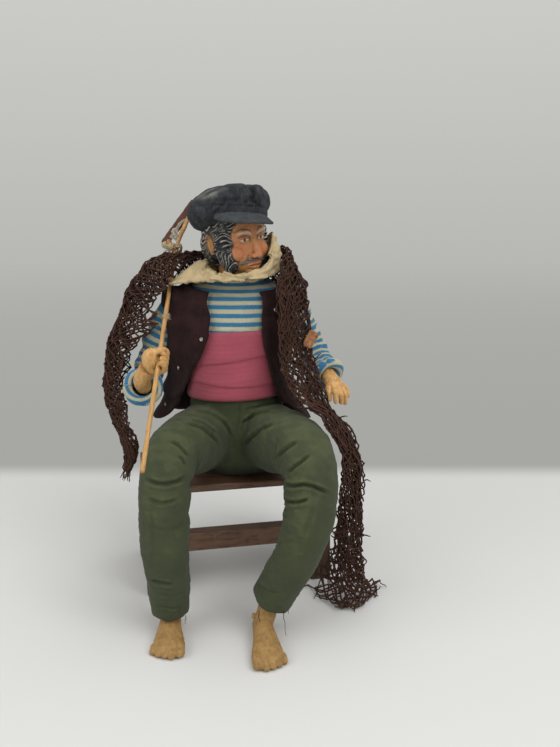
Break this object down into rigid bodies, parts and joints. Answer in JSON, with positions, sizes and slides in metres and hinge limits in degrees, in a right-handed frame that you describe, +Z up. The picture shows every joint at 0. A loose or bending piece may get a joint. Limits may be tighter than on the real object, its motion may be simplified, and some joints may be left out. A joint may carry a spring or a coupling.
{
  "type": "fisherman santon",
  "caption": "Seated fisherman figurine in cap, scarf, knit top, sash, waistcoat and trousers on a wooden stool, holding a push net on a pole, with a fishing net over the shoulders.",
  "frame": {"origin": "on the floor under the middle of the bounding box", "axes": "+Z up through the seated figure; the figure faces -Y; +X is towards his left hand, the viewer's right"},
  "size_m": [0.1668, 0.167, 0.2401],
  "materials": {
    "blade_wood": "stained",
    "brown_felt": "napped wool",
    "cork": "cork",
    "dark_felt": "felt",
    "ecru_cotton": "plain weave",
    "green_linen": "plain weave",
    "net_twine": "knotted twine",
    "nickel": "dull",
    "pale_twine": "twine",
    "pale_wood": "raw",
    "rose_cotton": "plain weave",
    "stool_wood": "dark stain",
    "striped_knit": "knit",
    "stuffing": "packed tow",
    "terracotta": "fired clay, painted"
  },
  "bodies": {
    "root": {"body_padding": "stuffing", "cap": "dark_felt", "cap_visor": "dark_felt", "fishing_net": "net_twine", "foot_left": "terracotta", "foot_right": "terracotta", "hand_left": "terracotta", "hand_right": "terracotta", "head": "terracotta", "jersey": "striped_knit", "net_float": "cork", "pole": "pale_wood", "sash": "rose_cotton", "scarf": "ecru_cotton", "shrimp_net_arm_left": "pale_wood", "shrimp_net_arm_right": "pale_wood", "shrimp_net_bag": "pale_twine", "shrimp_net_blade": "blade_wood", "shrimp_net_lashing": "pale_twine", "stool_leg_back_left": "stool_wood", "stool_leg_back_right": "stool_wood", "stool_leg_front_left": "stool_wood", "stool_leg_front_right": "stool_wood", "stool_rail_front": "stool_wood", "stool_rail_left": "stool_wood", "stool_rail_right": "stool_wood", "stool_seat": "stool_wood", "trousers": "green_linen", "waistcoat": "brown_felt", "waistcoat_button_1": "nickel", "waistcoat_button_2": "nickel", "waistcoat_button_3": "nickel", "waistcoat_button_4": "nickel", "waistcoat_button_5": "nickel"}
  },
  "joints": []
}
